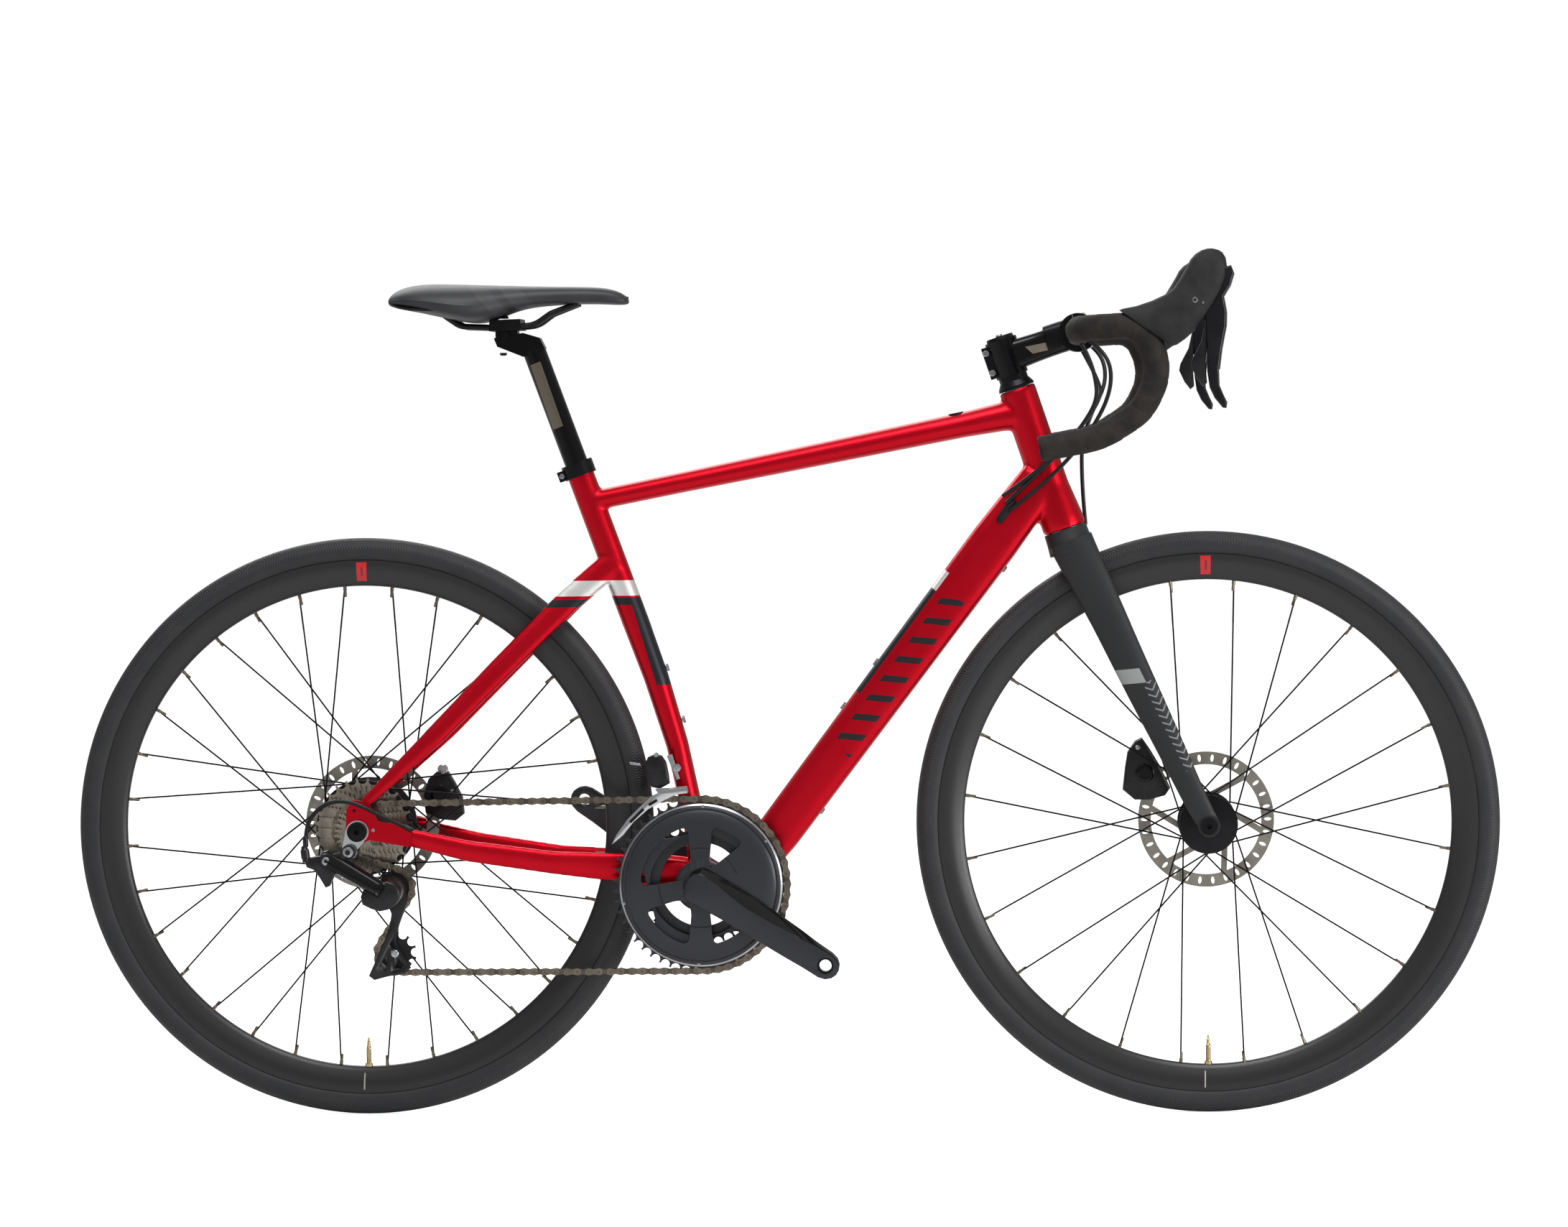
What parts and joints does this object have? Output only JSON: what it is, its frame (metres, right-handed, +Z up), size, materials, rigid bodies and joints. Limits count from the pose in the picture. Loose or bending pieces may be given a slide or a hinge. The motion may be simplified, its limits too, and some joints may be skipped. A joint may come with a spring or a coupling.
{
  "type": "road bicycle",
  "caption": "Drop-bar road bicycle with disc brakes, derailleur gears and a hidden electric assist in the rear hub; frame, steering, wheels and drivetrain all move.",
  "frame": {"origin": "on the ground midway between the two axles, in the plane of the wheels", "axes": "+X forward, +Y to the rider's left, +Z up"},
  "size_m": [1.6729, 0.4462, 1.0045],
  "materials": {
    "frame_red": "satin metallic candy red",
    "fork_grey": "matte charcoal",
    "bearing_steel": "ground",
    "black_alloy": "satin anodised black",
    "bare_alloy": "polished",
    "tape": "matte wrapped",
    "hood_rubber": "matte",
    "lever_black": "satin",
    "caliper_black": "satin anodised",
    "derailleur_black": "gloss black paint",
    "derailleur_silver": "brushed",
    "pulley_black": "matte",
    "spoke_black": "black coated",
    "rotor_steel": "ground",
    "sprocket_nickel": "nickel plate",
    "chain_steel": "oiled",
    "tyre_rubber": "matte",
    "saddle_cover": "matte",
    "saddle_shell": "matte",
    "cable_black": "satin",
    "battery": "matte"
  },
  "bodies": {
    "frame": {"head_tube": "frame_red", "headset_bearings": "bearing_steel", "seat_tube": "frame_red", "top_tube": "frame_red", "down_tube": "frame_red", "battery_pack": "battery", "bottom_bracket_shell": "frame_red", "bottom_bracket": "black_alloy", "chainstays": "frame_red", "seatstays": "frame_red", "dropouts": "frame_red", "derailleur_hanger": "bare_alloy", "rear_axle": "black_alloy", "seat_collar": "black_alloy", "bottle_bolts": "bearing_steel", "rear_caliper": "caliper_black", "chain": "chain_steel", "control_lines": "cable_black", "rear_shift_housing": "cable_black", "front_derailleur": "derailleur_black", "derailleur_knuckle": "derailleur_black"},
    "seat": {"seatpost": "black_alloy", "saddle_clamp": "black_alloy", "saddle_rails": "bearing_steel", "saddle_shell": "saddle_shell", "saddle_cover": "saddle_cover"},
    "steering": {"fork": "fork_grey", "front_axle": "black_alloy", "headset_spacers": "black_alloy", "stem": "black_alloy", "stem_faceplate": "black_alloy", "handlebar": "black_alloy", "bar_tape": "tape", "brake_hoods": "hood_rubber", "front_caliper": "caliper_black"},
    "brake_lever_left": {"brake_lever_left": "lever_black"},
    "brake_lever_right": {"brake_lever_right": "lever_black"},
    "shift_paddle_left": {"shift_paddle_left": "lever_black"},
    "shift_paddle_right": {"shift_paddle_right": "lever_black"},
    "front_wheel": {"front_tyre": "tyre_rubber", "front_rim": "black_alloy", "front_spokes": "spoke_black", "front_hub": "black_alloy", "front_rotor": "rotor_steel"},
    "rear_wheel": {"rear_tyre": "tyre_rubber", "rear_rim": "black_alloy", "rear_spokes": "spoke_black", "hub_motor": "black_alloy", "rear_rotor": "rotor_steel"},
    "cassette": {"cassette": "sprocket_nickel"},
    "crank": {"crank_right": "black_alloy", "chainrings": "black_alloy", "crank_left": "black_alloy"},
    "derailleur_link": {"derailleur_link": "derailleur_black"},
    "derailleur_pivot": {"derailleur_pivot": "derailleur_black"},
    "derailleur_cage": {"derailleur_cage": "derailleur_black"},
    "guide_pulley": {"guide_pulley": "pulley_black"},
    "tension_pulley": {"tension_pulley": "pulley_black"},
    "front_derailleur_cage": {"front_derailleur_cage": "derailleur_silver"},
    "assist_button": {"assist_button": "lever_black"}
  },
  "joints": [
    {"name": "steering_turn", "type": "hinge", "parent": "frame", "child": "steering", "pos_m": [0.3315, 0, 0.6855], "axis": [-0.3161, 0, 0.9487], "range_deg": [-65, 65], "deforming": ["control_lines"]},
    {"name": "seatpost_slide", "type": "slide", "parent": "frame", "child": "seat", "axis": [-0.3428, 0, 0.9394], "range_m": [-0.06, 0.05]},
    {"name": "brake_lever_left_pull", "type": "hinge", "parent": "steering", "child": "brake_lever_left", "pos_m": [0.492, 0.205, 0.947], "axis": [0, 1, 0], "range_deg": [0, 11], "stiffness_Nm_per_rad": 2.5, "springref_deg": -6.88},
    {"name": "shift_paddle_left_press", "type": "hinge", "parent": "brake_lever_left", "child": "shift_paddle_left", "pos_m": [0.4935, 0.205, 0.885], "axis": [0, 0, 1], "range_deg": [0, 14], "stiffness_Nm_per_rad": 0.6, "springref_deg": -5.73},
    {"name": "brake_lever_right_pull", "type": "hinge", "parent": "steering", "child": "brake_lever_right", "pos_m": [0.492, -0.205, 0.947], "axis": [0, 1, 0], "range_deg": [0, 11], "stiffness_Nm_per_rad": 2.5, "springref_deg": -6.88},
    {"name": "shift_paddle_right_press", "type": "hinge", "parent": "brake_lever_right", "child": "shift_paddle_right", "pos_m": [0.4935, -0.205, 0.885], "axis": [0, 0, -1], "range_deg": [0, 14], "stiffness_Nm_per_rad": 0.6, "springref_deg": -5.73},
    {"name": "front_wheel_spin", "type": "hinge", "parent": "steering", "child": "front_wheel", "pos_m": [0.4955, 0, 0.341], "axis": [0, 1, 0], "continuous": true},
    {"name": "rear_wheel_spin", "type": "hinge", "parent": "frame", "child": "rear_wheel", "pos_m": [-0.4955, 0, 0.341], "axis": [0, 1, 0], "continuous": true},
    {"name": "crank_spin", "type": "hinge", "parent": "frame", "child": "crank", "pos_m": [-0.0965, 0, 0.274], "axis": [0, 1, 0], "continuous": true, "deforming": ["chain"]},
    {"name": "cassette_spin", "type": "hinge", "parent": "frame", "child": "cassette", "pos_m": [-0.4955, 0, 0.341], "axis": [0, 1, 0], "continuous": true},
    {"name": "derailleur_link_swing", "type": "hinge", "parent": "frame", "child": "derailleur_link", "pos_m": [-0.531, -0.086, 0.311], "axis": [0.5276, 0.3988, 0.7501], "range_deg": [-12, 19], "stiffness_Nm_per_rad": 3},
    {"name": "derailleur_pivot_turn", "type": "hinge", "parent": "derailleur_link", "child": "derailleur_pivot", "pos_m": [-0.469, -0.10408, 0.277], "axis": [0.5276, 0.3988, 0.7501], "range_deg": [-19, 12]},
    {"name": "derailleur_cage_swing", "type": "hinge", "parent": "derailleur_pivot", "child": "derailleur_cage", "pos_m": [-0.457, -0.0515, 0.273], "axis": [0, 1, 0], "range_deg": [-35, 15], "stiffness_Nm_per_rad": 1.2},
    {"name": "guide_pulley_spin", "type": "hinge", "parent": "derailleur_cage", "child": "guide_pulley", "pos_m": [-0.457, -0.0515, 0.273], "axis": [0, 1, 0], "continuous": true},
    {"name": "tension_pulley_spin", "type": "hinge", "parent": "derailleur_cage", "child": "tension_pulley", "pos_m": [-0.45581, -0.0515, 0.19601], "axis": [0, 1, 0], "continuous": true},
    {"name": "front_derailleur_swing", "type": "hinge", "parent": "frame", "child": "front_derailleur_cage", "pos_m": [-0.15, -0.03, 0.425], "axis": [1, 0, 0], "range_deg": [0, 9], "stiffness_Nm_per_rad": 2, "springref_deg": -5.73},
    {"name": "assist_button_press", "type": "slide", "parent": "frame", "child": "assist_button", "axis": [0.191, 0, -0.9816], "range_m": [0, 0.0008], "stiffness_N_per_m": 1200, "springref_m": -0.0005}
  ],
  "couplings": [
    {"joint": "cassette_spin", "follows": "crank_spin", "ratio": 3.3333},
    {"joint": "guide_pulley_spin", "follows": "crank_spin", "ratio": -4.5455},
    {"joint": "tension_pulley_spin", "follows": "crank_spin", "ratio": 4.5455},
    {"joint": "derailleur_pivot_turn", "follows": "derailleur_link_swing", "ratio": -1}
  ]
}
